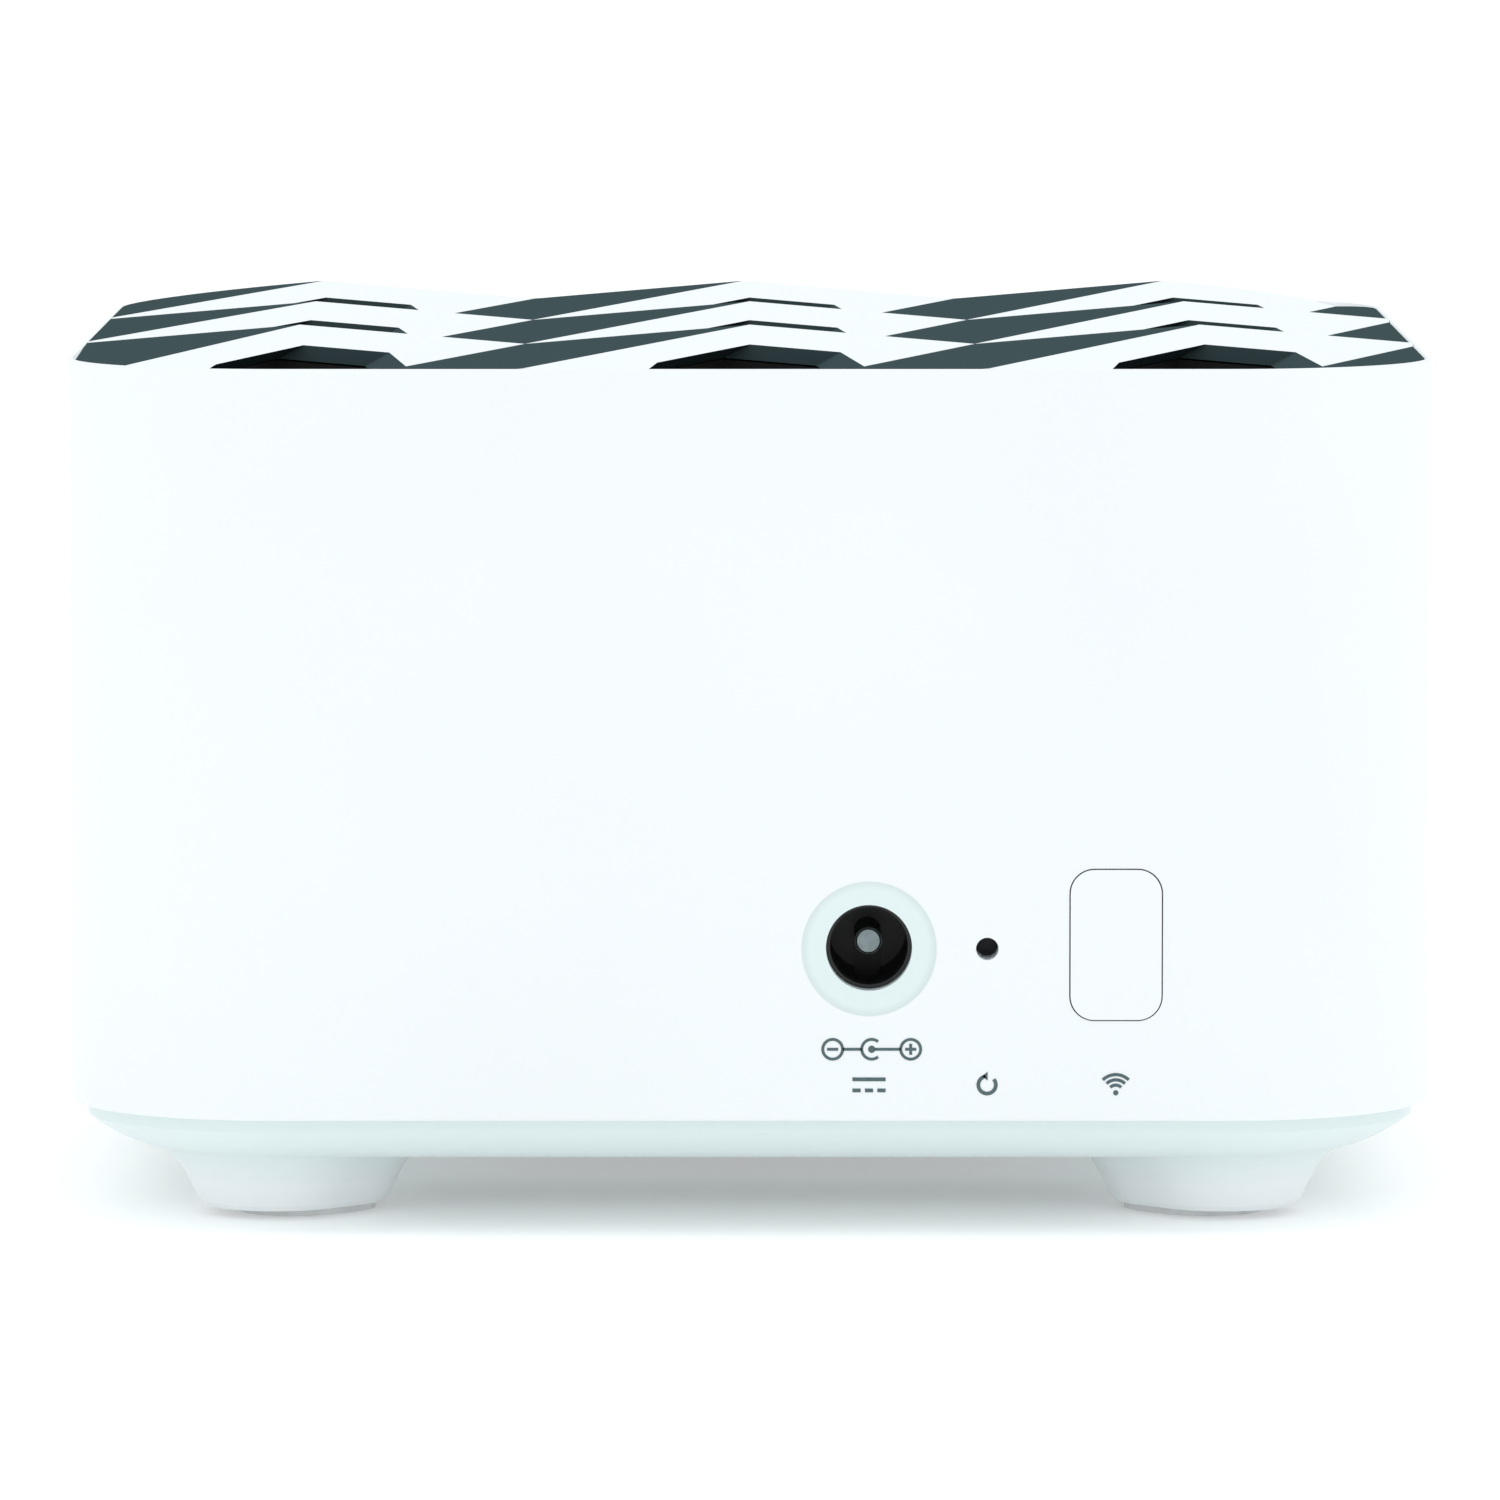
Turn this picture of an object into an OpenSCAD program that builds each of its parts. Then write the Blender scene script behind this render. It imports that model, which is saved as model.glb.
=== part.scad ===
// Mesh wireless router: a rounded-square sleeve with a faceted, vented cap on top, a shallow
// base tray on four flared feet, and rear controls: a power inlet, a reset pinhole and a sync
// button. Inside, a black chassis carries four antennas over a main board with its heat sink.
// Axes: the rear face looks along -Y, +X is to the right seen from the rear, +Z is up.
// The origin is on the ground under the middle of the body. Sizes are in millimetres.

/* [Body] */
// Width and depth of the square body
body_side = 104; // [102:0.5:108]
// Plan radius of the body's corners
corner_r = 16; // [15:0.5:18]
// Height of the wall's top edge above the ground
edge_z = 65.6; // [64:0.2:70]
// Height of the wall's bottom edge above the ground
wall_bottom_z = 8.8; // [8.6:0.1:9.4]
// Thickness of the sleeve's walls
wall_t = 2.2; // [2:0.1:2.4]
// Thickness of the lip that stands around the cap
lip_t = 1.2; // [1.1:0.1:1.4]
// Thickness that the lip thins to at its top edge
lip_edge = 0.35; // [0.3:0.05:0.5]
// Depth of the seat that the cap rests on, below the top edge
seat_depth = 4; // [3.8:0.1:4.4]
// Radius of the rounded outer edges of the sleeve
edge_round = 0.2; // [0.1:0.05:0.3]

/* [Faceted cap] */
// Rise of a facet's peak above the wall's top edge
facet_rise = 1.5; // [0.8:0.1:1.8]
// Thickness of the cap's skin
skin_t = 1.2; // [1:0.1:1.4]
// Sideways slant of a vent's walls through the skin
vent_slant = 2.2; // [0:0.1:2.4]
// Width of the cap's downward skirt
skirt_t = 1.5; // [1.3:0.1:1.8]
// Thickness of the black liner under the skin
liner_t = 1; // [0.8:0.1:1.2]

/* [Base and feet] */
// Height of the base's flat underside above the ground
underside_z = 5.2; // [5:0.1:5.6]
// How far the base's rim stands back under the wall
rim_set_back = 1.3; // [1:0.1:1.5]
// Height of the rim's lower edge above the ground
rim_z = 7.8; // [7.4:0.1:8]
// How far in the underside turns flat
rim_inset = 8; // [7:0.5:9]
// Thickness of the base's floor
floor_t = 2; // [1.8:0.1:2.4]
// Distance from each centre line to the outer end of a foot
foot_outer = 36.2; // [35.5:0.1:37]
// Distance from each centre line to the inner end of a foot
foot_inner = 33.8; // [33:0.1:34.5]
// End radius of a foot at its bottom
foot_r = 6.1; // [5.8:0.1:6.3]
// How far a foot widens evenly towards the base
foot_taper = 2.4; // [1.5:0.1:2.6]
// How much more a foot spreads where it joins the base
foot_spread = 3; // [1:0.1:3]
// Distance from each centre line to the outer end of a rubber pad
pad_outer = 34.9; // [34.5:0.1:35.3]
// Distance from each centre line to the inner end of a rubber pad
pad_inner = 33.2; // [32.8:0.1:33.6]
// End radius of a rubber pad
pad_r = 4.4; // [4.2:0.05:4.6]
// How far a pad stands below its foot
pad_proud = 0.7; // [0.5:0.05:1]

/* [Rear controls] */
// Height of the controls' centre line above the ground
control_z = 21.9; // [21.7:0.1:22.3]
// Sideways place of the power inlet
dc_x = 9; // [8.5:0.1:9.5]
// Radius of the plug's opening
inlet_r = 3.25; // [3:0.05:3.4]
// Radius of the shallow dish around the inlet
dish_r = 5.1; // [4.8:0.05:5.3]
// Depth of the dish at its middle
dish_depth = 1.2; // [0.8:0.1:1.4]
// Radius of the inlet's centre pin
pin_r = 1; // [0.9:0.05:1.1]
// Sideways place of the reset pinhole
reset_x = 17.9; // [17.5:0.1:18.2]
// Radius of the reset pinhole
reset_r = 0.85; // [0.7:0.05:1]
// Sideways place of the sync button
sync_x = 27.6; // [27.2:0.1:28]
// Width of the sync button
sync_w = 6.85; // [6.5:0.05:7.2]
// Height of the sync button
sync_h = 11.35; // [11:0.05:11.6]
// Corner radius of the sync button
sync_corner = 1.8; // [1:0.1:2.4]
// Gap all round the sync button
sync_gap = 0.1; // [0.08:0.01:0.16]
// Travel of the sync button
sync_travel = 0.5; // [0.3:0.05:0.6]
// Travel of the reset plunger
reset_travel = 0.25; // [0.15:0.05:0.3]

/* [Main board] */
// Height of the board's top face above the ground
board_z = 15.5; // [15.3:0.1:15.8]
// Thickness of the board
board_t = 1.6; // [1.4:0.1:1.8]
// Width and depth of the board
board_side = 94; // [92:0.5:94.5]
// Width and depth of the heat sink
sink_side = 44; // [36:1:44]
// Height of the heat sink's fins
fin_h = 17; // [10:0.5:18]
// Number of fins
fin_count = 10; // [6:1:12]

/* [Chassis and antennas] */
// Distance from each centre line to the long screws
post_xy = 35; // [34.8:0.1:35.2]
// Height of the chassis deck's top face above the ground
deck_z = 58; // [57.6:0.1:58.4]
// Half width of the chassis band
band_half = 47; // [46.5:0.1:47.3]
// Thickness of the chassis band
band_t = 1.6; // [1.4:0.1:2]
// Width of an antenna board
antenna_w = 32; // [30:1:36]
// Height of an antenna board
antenna_h = 24; // [20:1:24]
// Distance of an antenna's lead from the middle of its side
lead_offset = 12; // [10:0.5:13]
// Radius of an antenna's lead
lead_r = 0.6; // [0.5:0.05:0.7]

/* [Hidden] */
$fn = 72;
eps = 0.01;
cut = 1;

// Body, worked out from the driving sizes
half = body_side / 2;
inner_half = half - wall_t;
seat_z = edge_z - seat_depth;
bottom_round = 0.4;
rear_out = -half;
rear_in = -inner_half;
proud = 0.1;

// Faceted cap
pitch = (body_side + 1) / 3;
step = pitch / 2;
rows = [0 : 2];
columns = [-1 : 1];
node_span = 4;
corner_shift = 3.2;
lip_slope_h = 1.2;
cap_gap = 0.1;
cap_half = half - lip_t - cap_gap;
cap_inner_half = cap_half - skirt_t;
liner_gap = 0.15;
liner_half = cap_inner_half - liner_gap;
cap_boss_r = 3.2;
cap_boss_x = 26;
cap_boss_rows = [-23, 12];
cap_bore_r = 1.27;
cap_bore_top = edge_z - 3;
block_z = deck_z - 2 * seat_depth;
cap_boss_gap = 0.15;
window_w = 20;
window_d = 18;
window_back = 23;

// A vent's corners as shares of its facet's two edges: near edge first, ridge side second
vent_corners = [
    [0.312, 0.312], [0.312, 0.712], [0.5, 1], [0.99, 1], [0.99, 0.5], [0.712, 0.312]
];

// Base and feet
floor_z = underside_z + floor_t;
upstand_gap = 0.2;
upstand_t = 1.5;
upstand_z = wall_bottom_z + 3.2;
pad_sunk = 0.45;
pad_top = pad_proud + pad_sunk;
foot_bevel = 0.4;
pillar_r = 4;
small_pillar_r = 3;
slot_w = 2.4;
slot_len = 14;
slot_step = 6;
slot_count = 9;
slot_y = 25;
label_w = 44;
label_d = 26;
label_t = 0.15;
label_r = 2;

// Screws
long_r = 1.5;
long_head_r = 2.75;
long_head_h = 2;
long_seat = 4.6;
long_tip = 23;
clear = 0.12;
grip = 0.02;
board_screw_spots = [[40, 24], [-40, -24]];
short_r = 1.1;
short_head_r = 2.2;
short_head_h = 1.4;
short_tip = 9;
cap_screw_r = 1.25;
cap_head_r = 2.3;
cap_head_h = 1.5;
driver_w = 0.5;
driver_reach = 1.2;

// Rear controls
sync_z = control_z + 0.3;
panel_x = 18.5;
panel_w = 34;
panel_h = 17.4;
panel_lap = 1;
jack_w = 9;
jack_len = 14;
jack_h = 11;
jack_face = rear_in + 0.1;
jack_bore_r = inlet_r - 0.3;
jack_bore_len = 11.5;
pin_tip = rear_in + 3.6;
pin_bevel = 0.15;
jack_slot_w = 2;
leaf_back = 6;
leaf_w = 1.6;
leaf_t = 0.4;
leaf_top = control_z - jack_bore_r - 0.2;
tail_w = 2.4;
tail_t = 0.5;
tail_over = 2;
flange_lap = 1;
flange_t = 1;
flange_gap = 0.2;
tunnel_gap = 0.2;
tunnel_t = 1.2;
tunnel_len = 2.6;
stem_w = 3;
contact_gap = 0.05;
sync_front = -44.2;
sync_depth = 4.3;
sync_body_w = 7.2;
sync_body_h = 10.2;
plunger_out = 2.2;
plunger_in = 1.2;
sync_plunger_r = 1.75;
reset_front = -46.2;
reset_depth = 4;
reset_body_w = 5.2;
reset_body_h = 9;
reset_plunger_r = 1.2;
reset_out = 2.1;
reset_in = 1;
plunger_gap = 0.05;
end_room = 0.2;
collar_r = 2.2;
collar_len = 1.2;
flange_corner = 0.5;
tunnel_corner = 1;

// Main board
board_bottom = board_z - board_t;
board_r = 12;
chip_side = 16;
chip_h = 1.5;
pad_side = 18;
thermal_t = 0.8;
chip_top = board_z + chip_h;
sink_z = chip_top + thermal_t;
sink_base = 3;
fin_t = 1.5;
sink_pin_xy = 18;
sink_pin_r = 1.5;
sink_pin_gap = 0.1;
sink_well_r = 3.4;
sink_cap_r = 2.6;
sink_cap_h = 4;
sink_head_r = 3;
sink_head_h = 1.2;
memory_x = [-20, -8];
memory_y = 31;
memory_w = 9;
memory_d = 12;
memory_h = 1.1;
flash_x = 22;
flash_w = 8;
flash_d = 6;
flash_h = 1;
coil_x = -4;
coil_y = -32;
coil_side = 7;
coil_r = 1;
coil_h = 4;
cap_can_spots = [[-20, -32], [-20, -40], [-27.5, -40]];
cap_can_r = 3.15;
cap_can_h = 7.7;
cap_top_r = 2.7;
cap_top_h = 0.3;
can_w = 16;
can_d = 24;
can_h = 2.8;
can_t = 0.3;
can_x = 33;
can_y = 6;

// Light pipe
led_y = 43.4;
led_w = 3.2;
led_d = 1.6;
led_h = 2.4;
pipe_z = board_z + 1.5;
pipe_r = 1.2;
pipe_gap = 0.05;
pipe_start_gap = 0.3;
collar_over = 1;
collar_gap = 0.2;
collar_t = 0.8;

// Chassis and antennas
band_r = corner_r - (half - band_half) + 2;
band_bottom = 30;
gusset_t = 3;
gusset_reach = 60;
deck_t = 2;
deck_half = 49;
deck_ring = 10;
leg_r = 4;
antenna_t = 0.8;
antenna_z = 30;
foil_t = 0.15;
foil_edge = 4;
foil_w = 3;
opening_w = antenna_w - 4;
opening_top = antenna_z + antenna_h - 4;
lead_x = band_half - lead_r - 0.1;
lead_top = antenna_z + 8;
lead_bend = 3;
plug_x = 36;
plug_r = 1.6;
plug_lift = 0.3;
plug_h = 2;
socket_side = 2.4;
socket_foot_h = 0.25;
socket_r = 1;
socket_h = 1;
lead_z = board_z + 1.5;

// ---- Shared shapes ----

// Points of an arc, from angle a0 to a1, in n steps
function arc(cx, cy, r, a0, a1, n = 8) =
    [for (i = [0 : n]) let (a = a0 + (a1 - a0) * i / n) [cx + r * cos(a), cy + r * sin(a)]];

// Sweeps a profile around a rounded square. The profile's x is 0 at the outer face and
// negative inward, and its y is the height.
module around(side, r) {
    straight = side - 2 * r;
    for (turn = [0 : 90 : 270]) rotate(turn) {
        translate([straight / 2, straight / 2, 0])
            rotate_extrude(angle = 90) translate([r, 0]) children();
        translate([side / 2, straight / 2, 0])
            rotate([90, 0, 0]) linear_extrude(straight) children();
    }
}

// Flat slab with rounded corners, between two heights
module slab(w, d, r, z0, z1) {
    translate([-w / 2 + r, -d / 2, z0]) cube([w - 2 * r, d, z1 - z0]);
    translate([-w / 2, -d / 2 + r, z0]) cube([w, d - 2 * r, z1 - z0]);
    for (x = [-1, 1], y = [-1, 1])
        translate([x * (w / 2 - r), y * (d / 2 - r), z0]) cylinder(h = z1 - z0, r = r);
}

// Box centred on x and y, between two heights
module block(w, d, z0, z1) {
    translate([-w / 2, -d / 2, z0]) cube([w, d, z1 - z0]);
}

// Round bar along Y at the given place, between two depths
module bar_y(x, z, r, y0, y1) {
    translate([x, y1, z]) rotate([90, 0, 0]) cylinder(h = y1 - y0, r = r);
}

// Rounded block standing in the rear wall, between two depths
module plate_y(x, z, w, h, r, y0, y1) {
    translate([x, y1, z]) rotate([90, 0, 0]) slab(w, h, r, 0, y1 - y0);
}

module at_posts() {
    for (x = [-1, 1], y = [-1, 1]) translate([x * post_xy, y * post_xy, 0]) children();
}

module at_cap_bosses() {
    for (x = [-1, 1], y = cap_boss_rows) translate([x * cap_boss_x, y, 0]) children();
}

module at_board_screws() {
    for (spot = board_screw_spots) translate([spot[0], spot[1], 0]) children();
}

// ---- Faceted surface ----

// Far edge of a row of facets
function far_y(row) = pitch * (row - 0.5);

// Height of a crease's end: the even ones rise at a row's far edge and dip at its near edge
function crease_z(k, lift) = edge_z + (k % 2 == 0 ? lift : 0);

// The near left crease leans in towards its peak, within the plane of the white facet
function lean(edge, k) = edge == 0 && k == 1 ? corner_shift : 0;

// Block with the faceted surface on top. Three rows of slanted stripes run from a zigzag of
// peaks on the far edge to a zigzag of valleys on the near edge, so every stripe is flat, and
// an upright riser joins each row to the next.
module facet_block() {
    last = 2 * node_span;
    line = last + 1;
    edges = [0 : 3];
    function high(b, k) = b * line + k;
    function low(b, k) = b == 0 || k % 2 == 1
        ? high(b, k)
        : 4 * line + (b - 1) * (node_span + 1) + k / 2;
    side = node_span * step;
    corner = 4 * line + 2 * (node_span + 1);
    polyhedron(
        points = concat(
            [for (b = edges, k = [0 : last])
                [(k - node_span) * step + lean(b, k), far_y(b - 1),
                 crease_z(k, b == 0 ? -facet_rise : facet_rise) - lean(b, k) * facet_rise / step]],
            [for (b = [1, 2], k = [0 : 2 : last])
                [(k - node_span) * step, far_y(b - 1), crease_z(k, -facet_rise)]],
            [for (x = [-side, side], y = [far_y(-1), far_y(2)]) [x, y, block_z]]
        ),
        faces = concat(
            [for (r = rows, k = [1 : last - 1]) if (r > 0 || k > 1)
                [high(r + 1, k), high(r + 1, k + 1), low(r, k), low(r, k - 1)]],
            [[high(1, 1), high(1, 2), low(0, 1)], [high(1, 1), low(0, 1), low(0, 0)]],
            [for (r = rows) [high(r + 1, 0), high(r + 1, 1), low(r, 0)]],
            [for (r = rows) [high(r + 1, last), low(r, last), low(r, last - 1)]],
            [for (b = [1, 2], k = [1 : 2 : last - 3])
                [high(b, k + 2), high(b, k + 1), high(b, k), low(b, k + 1)]],
            [for (b = [1, 2]) [high(b, 1), high(b, 0), low(b, 0)]],
            [for (b = [1, 2]) [high(b, last), high(b, last - 1), low(b, last)]],
            [concat([for (k = [last : -1 : 0]) high(3, k)], [corner + 1, corner + 3])],
            [concat([for (k = [0 : last]) high(0, k)], [corner + 2, corner])],
            [[high(3, 0), low(2, 0), high(2, 0), low(1, 0), high(1, 0), high(0, 0),
              corner, corner + 1]],
            [[high(0, last), high(1, last), low(1, last), high(2, last), low(2, last),
              high(3, last), corner + 3, corner + 2]],
            [[corner + 1, corner, corner + 2, corner + 3]]
        )
    );
}

// Rounded square whose sides stand the given distance from the centre lines
module inner_slab(plan_half, z0, z1) {
    slab(2 * plan_half, 2 * plan_half, corner_r - (half - plan_half), z0, z1);
}

// The faceted block sunk by a thickness, so that a skin or a gap is left above it. It also
// slides along its creases, which leaves the same thickness at the risers.
module sunk_block(depth, plan_half, low_z) {
    intersection() {
        translate([-step * depth / pitch, -depth, -facet_rise * depth / pitch - depth])
            facet_block();
        inner_slab(plan_half, low_z, edge_z + 2 * facet_rise);
    }
}

// Outline of the cap: it widens at the top to cover the slope inside the sleeve's lip
module cap_outline() {
    inner_slab(cap_half, seat_z, edge_z + 2 * facet_rise);
    around(body_side, corner_r) polygon([
        [-lip_edge - cap_gap, edge_z], [-lip_t - cap_gap, edge_z - lip_slope_h],
        [-lip_t - skirt_t, edge_z - lip_slope_h], [-lip_t - skirt_t, edge_z + 2 * facet_rise],
        [-lip_edge - cap_gap, edge_z + 2 * facet_rise]
    ]);
}

// A corner of a vent on its white facet, from its shares along the facet's edges
function vent_point(column, row, share) =
    let (shift = lean(row, column + 2) * share[0] * (1 - share[1]))
    [column * pitch + step * (share[1] - share[0]) + shift, far_y(row) - pitch * share[0],
     edge_z + facet_rise * (1 - share[1] - share[0] - shift / step)];

// Slanted cutter for one vent, from a shift of its outline to another
module vent(column, row, from, to) {
    count = len(vent_corners);
    outline = [for (share = vent_corners) vent_point(column, row, share)];
    polyhedron(
        points = concat([for (p = outline) p + from], [for (p = outline) p + to]),
        faces = concat(
            [[for (i = [0 : count - 1]) i]],
            [[for (i = [count - 1 : -1 : 0]) count + i]],
            [for (i = [0 : count - 1]) let (j = (i + 1) % count) [j, i, count + i, count + j]]
        )
    );
}

module vents(plan_half, from, to) {
    intersection() {
        union() for (row = rows, column = columns) vent(column, row, from, to);
        inner_slab(plan_half, edge_z - 3 * seat_depth, edge_z + 2 * seat_depth);
    }
}

// ---- Casing ----

module housing_profile() {
    polygon(concat(
        arc(-bottom_round, wall_bottom_z + bottom_round, bottom_round, -90, 0, 4),
        arc(-edge_round, edge_z - edge_round, edge_round, 0, 90, 6),
        [
            [-lip_edge, edge_z], [-lip_t, edge_z - lip_slope_h], [-lip_t, seat_z],
            [-wall_t, seat_z], [-wall_t, wall_bottom_z]
        ]
    ));
}

// Upright block with the rear panel's outline, widened all round by a lap
module panel_block(lap, y0, y1) {
    translate([panel_x - panel_w / 2 - lap, y0, control_z - panel_h / 2 - lap])
        cube([panel_w + 2 * lap, y1 - y0, panel_h + 2 * lap]);
}

module housing() {
    color("white") difference() {
        around(body_side, corner_r) housing_profile();
        panel_block(0, rear_out - cut, rear_in + cut);
        bar_y(0, pipe_z, pipe_r + pipe_gap, inner_half - cut, half + cut);
    }
}

// Flush insert of the rear wall, with a lap behind it, that holds the inlet's dish, the pinhole
// and the button's guide
module control_panel() {
    flange_w = sync_w + 2 * flange_lap + 2 * tunnel_gap;
    flange_h = sync_h + 2 * flange_lap + 2 * tunnel_gap;
    tunnel_end = rear_in + tunnel_len;
    dish_ball = (dish_r * dish_r + dish_depth * dish_depth) / (2 * dish_depth);
    color("white") difference() {
        union() {
            panel_block(0, rear_out, rear_in);
            difference() {
                panel_block(panel_lap, rear_in, rear_in + panel_lap);
                panel_block(-panel_lap, rear_in - cut, rear_in + panel_lap + cut);
            }
            difference() {
                plate_y(sync_x, sync_z, flange_w + 2 * tunnel_t, flange_h + 2 * tunnel_t,
                        tunnel_corner, rear_in - eps, tunnel_end);
                plate_y(sync_x, sync_z, flange_w, flange_h, flange_corner, rear_in,
                        tunnel_end + cut);
            }
            bar_y(reset_x, control_z, collar_r, rear_in - eps, rear_in + collar_len);
        }
        translate([dc_x, rear_out + dish_depth - dish_ball, control_z]) sphere(dish_ball);
        bar_y(dc_x, control_z, inlet_r, rear_out - cut, rear_in + cut);
        bar_y(reset_x, control_z, reset_r, rear_out - cut, rear_in + collar_len + cut);
        plate_y(sync_x, sync_z, sync_w + 2 * sync_gap, sync_h + 2 * sync_gap,
                sync_corner + sync_gap, rear_out - cut, rear_in + eps);
    }
}

module top_grille() {
    through = [-vent_slant * 1.5, 0, -skin_t * 1.5];
    above = [vent_slant * 0.5, 0, skin_t * 0.5];
    color("white") difference() {
        union() {
            difference() {
                intersection() {
                    facet_block();
                    cap_outline();
                }
                sunk_block(skin_t, cap_inner_half, seat_z - cut);
            }
            intersection() {
                sunk_block(skin_t / 2, cap_inner_half, deck_z);
                at_cap_bosses() translate([0, 0, deck_z])
                    cylinder(h = 3 * seat_depth, r = cap_boss_r);
            }
        }
        vents(cap_inner_half, above, through);
        at_cap_bosses() translate([0, 0, deck_z - cut])
            cylinder(h = cap_bore_top - deck_z + cut, r = cap_bore_r);
    }
}

// Black inner skin: it follows the cap, backs its risers and stops light at the vents
module vent_liner() {
    drop = skin_t + liner_gap;
    liner_inner_half = liner_half - liner_t;
    shifted = [-vent_slant, 0, 0];
    color([0.06, 0.06, 0.07]) difference() {
        union() {
            difference() {
                sunk_block(drop, liner_half, deck_z);
                sunk_block(drop + liner_t, liner_inner_half, deck_z - cut);
                vents(liner_inner_half, shifted, shifted - [0, 0, seat_depth]);
            }
            difference() {
                inner_slab(liner_half - eps, deck_z, deck_z + liner_t);
                for (row = rows, column = columns)
                    translate([column * pitch, far_y(row) - window_back, 0])
                        block(window_w, window_d, deck_z - cut, deck_z + 2 * cut);
            }
        }
        at_cap_bosses() translate([0, 0, deck_z - cut])
            cylinder(h = 3 * seat_depth, r = cap_boss_r + cap_boss_gap);
    }
}

// ---- Base and feet ----

// The underside falls away from the rim in a curve that ends flat
function rim_curve(t) =
    [-rim_set_back - (rim_inset - rim_set_back) * t,
     underside_z + (rim_z - underside_z) * pow(1 - t, 2)];

module base_profile() {
    polygon(concat(
        [[-rim_set_back, wall_bottom_z]],
        [for (i = [0 : 10]) rim_curve(i / 10)],
        [[-rim_inset - 1, underside_z], [-rim_inset - 1, floor_z],
         [-wall_t - upstand_gap - upstand_t, floor_z],
         [-wall_t - upstand_gap - upstand_t, upstand_z],
         [-wall_t - upstand_gap, upstand_z],
         [-wall_t - upstand_gap, wall_bottom_z]]
    ));
}

// Radius of a foot at a share of its height: an even taper, with a spread at the top
function flare(t) = foot_r + foot_taper * t + foot_spread * pow(t, 5);

// Half section of a foot, with a small bevel at the sole
module foot_profile() {
    low = pad_proud + foot_bevel;
    rise = underside_z + floor_t / 2 - low;
    polygon(concat(
        [[0, pad_proud], [foot_r - foot_bevel, pad_proud]],
        [for (i = [0 : 10]) [flare(i / 10), low + rise * i / 10]],
        [[0, low + rise]]
    ));
}

// Distance along a corner's diagonal, to the nearest hundredth
function diagonal(side) = round(side * sqrt(2) * 100) / 100;

// Stretched round shape along the diagonal of one corner
module along_foot(inner, outer) {
    d0 = diagonal(inner);
    d1 = diagonal(outer);
    translate([d1, 0, 0]) rotate(-90) rotate_extrude(angle = 180) children();
    translate([d0, 0, 0]) rotate(90) rotate_extrude(angle = 180) children();
    translate([d0, 0, 0]) rotate([90, 0, 90]) linear_extrude(d1 - d0) {
        children();
        mirror([1, 0]) children();
    }
}

module at_feet() {
    for (turn = [45 : 90 : 315]) rotate(turn) children();
}

module pad_section(r, z0, z1) {
    translate([0, z0]) square([r, z1 - z0]);
}

module base_tray() {
    floor_half = half - rim_inset;
    color("white") difference() {
        union() {
            around(body_side, corner_r) base_profile();
            inner_slab(floor_half, underside_z, floor_z);
            at_feet() along_foot(foot_inner, foot_outer) foot_profile();
            at_posts() translate([0, 0, underside_z + eps])
                cylinder(h = board_bottom - underside_z - eps, r = pillar_r);
            at_board_screws() translate([0, 0, underside_z + eps])
                cylinder(h = board_bottom - underside_z - eps, r = small_pillar_r);
        }
        at_feet() along_foot(pad_inner, pad_outer)
            pad_section(pad_r + clear, pad_proud - cut, pad_top);
        at_posts() {
            translate([0, 0, pad_proud - cut])
                cylinder(h = long_seat - pad_proud + cut, r = long_head_r + 2 * clear);
            cylinder(h = board_z, r = long_r + clear);
        }
        at_board_screws() translate([0, 0, short_tip - cut])
            cylinder(h = board_z - short_tip + cut, r = short_r + grip);
        for (side = [-1, 1], i = [0 : slot_count - 1])
            translate([(i - (slot_count - 1) / 2) * slot_step, side * slot_y, 0])
                slab(slot_w, slot_len, slot_w / 2 - eps, underside_z - cut, floor_z + cut);
    }
}

module foot_pads() {
    color([0.62, 0.63, 0.64]) at_feet()
        along_foot(pad_inner, pad_outer) pad_section(pad_r, 0, pad_top);
}

module rating_label() {
    color([0.85, 0.86, 0.87])
        slab(label_w, label_d, label_r, underside_z - label_t, underside_z);
}

// ---- Screws ----

module base_screws() {
    color("silver") at_posts() difference() {
        union() {
            translate([0, 0, long_seat - long_head_h]) cylinder(h = long_head_h, r = long_head_r);
            translate([0, 0, long_seat - eps])
                cylinder(h = long_tip - long_seat + eps, r = long_r);
        }
        translate([0, 0, long_seat - long_head_h - cut])
            cylinder(h = cut + long_head_h / 2, r = long_head_r / 2, $fn = 6);
    }
}

module board_screws() {
    color("silver") at_board_screws() difference() {
        union() {
            translate([0, 0, board_z]) cylinder(h = short_head_h, r = short_head_r);
            translate([0, 0, short_tip]) cylinder(h = board_z - short_tip + eps, r = short_r);
        }
        for (turn = [0, 90]) rotate(turn)
            block(short_head_r * driver_reach, driver_w, board_z + short_head_h / 2,
                  board_z + 2 * short_head_h);
    }
}

module cap_screws() {
    low = deck_z - deck_t;
    color("silver") at_cap_bosses() difference() {
        union() {
            translate([0, 0, low - cap_head_h]) cylinder(h = cap_head_h, r = cap_head_r);
            translate([0, 0, low - eps])
                cylinder(h = cap_bore_top - low - end_room, r = cap_screw_r);
        }
        for (turn = [0, 90]) rotate(turn)
            block(cap_head_r * driver_reach, driver_w, low - 2 * cap_head_h, low - cap_head_h / 2);
    }
}

// ---- Chassis ----

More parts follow.
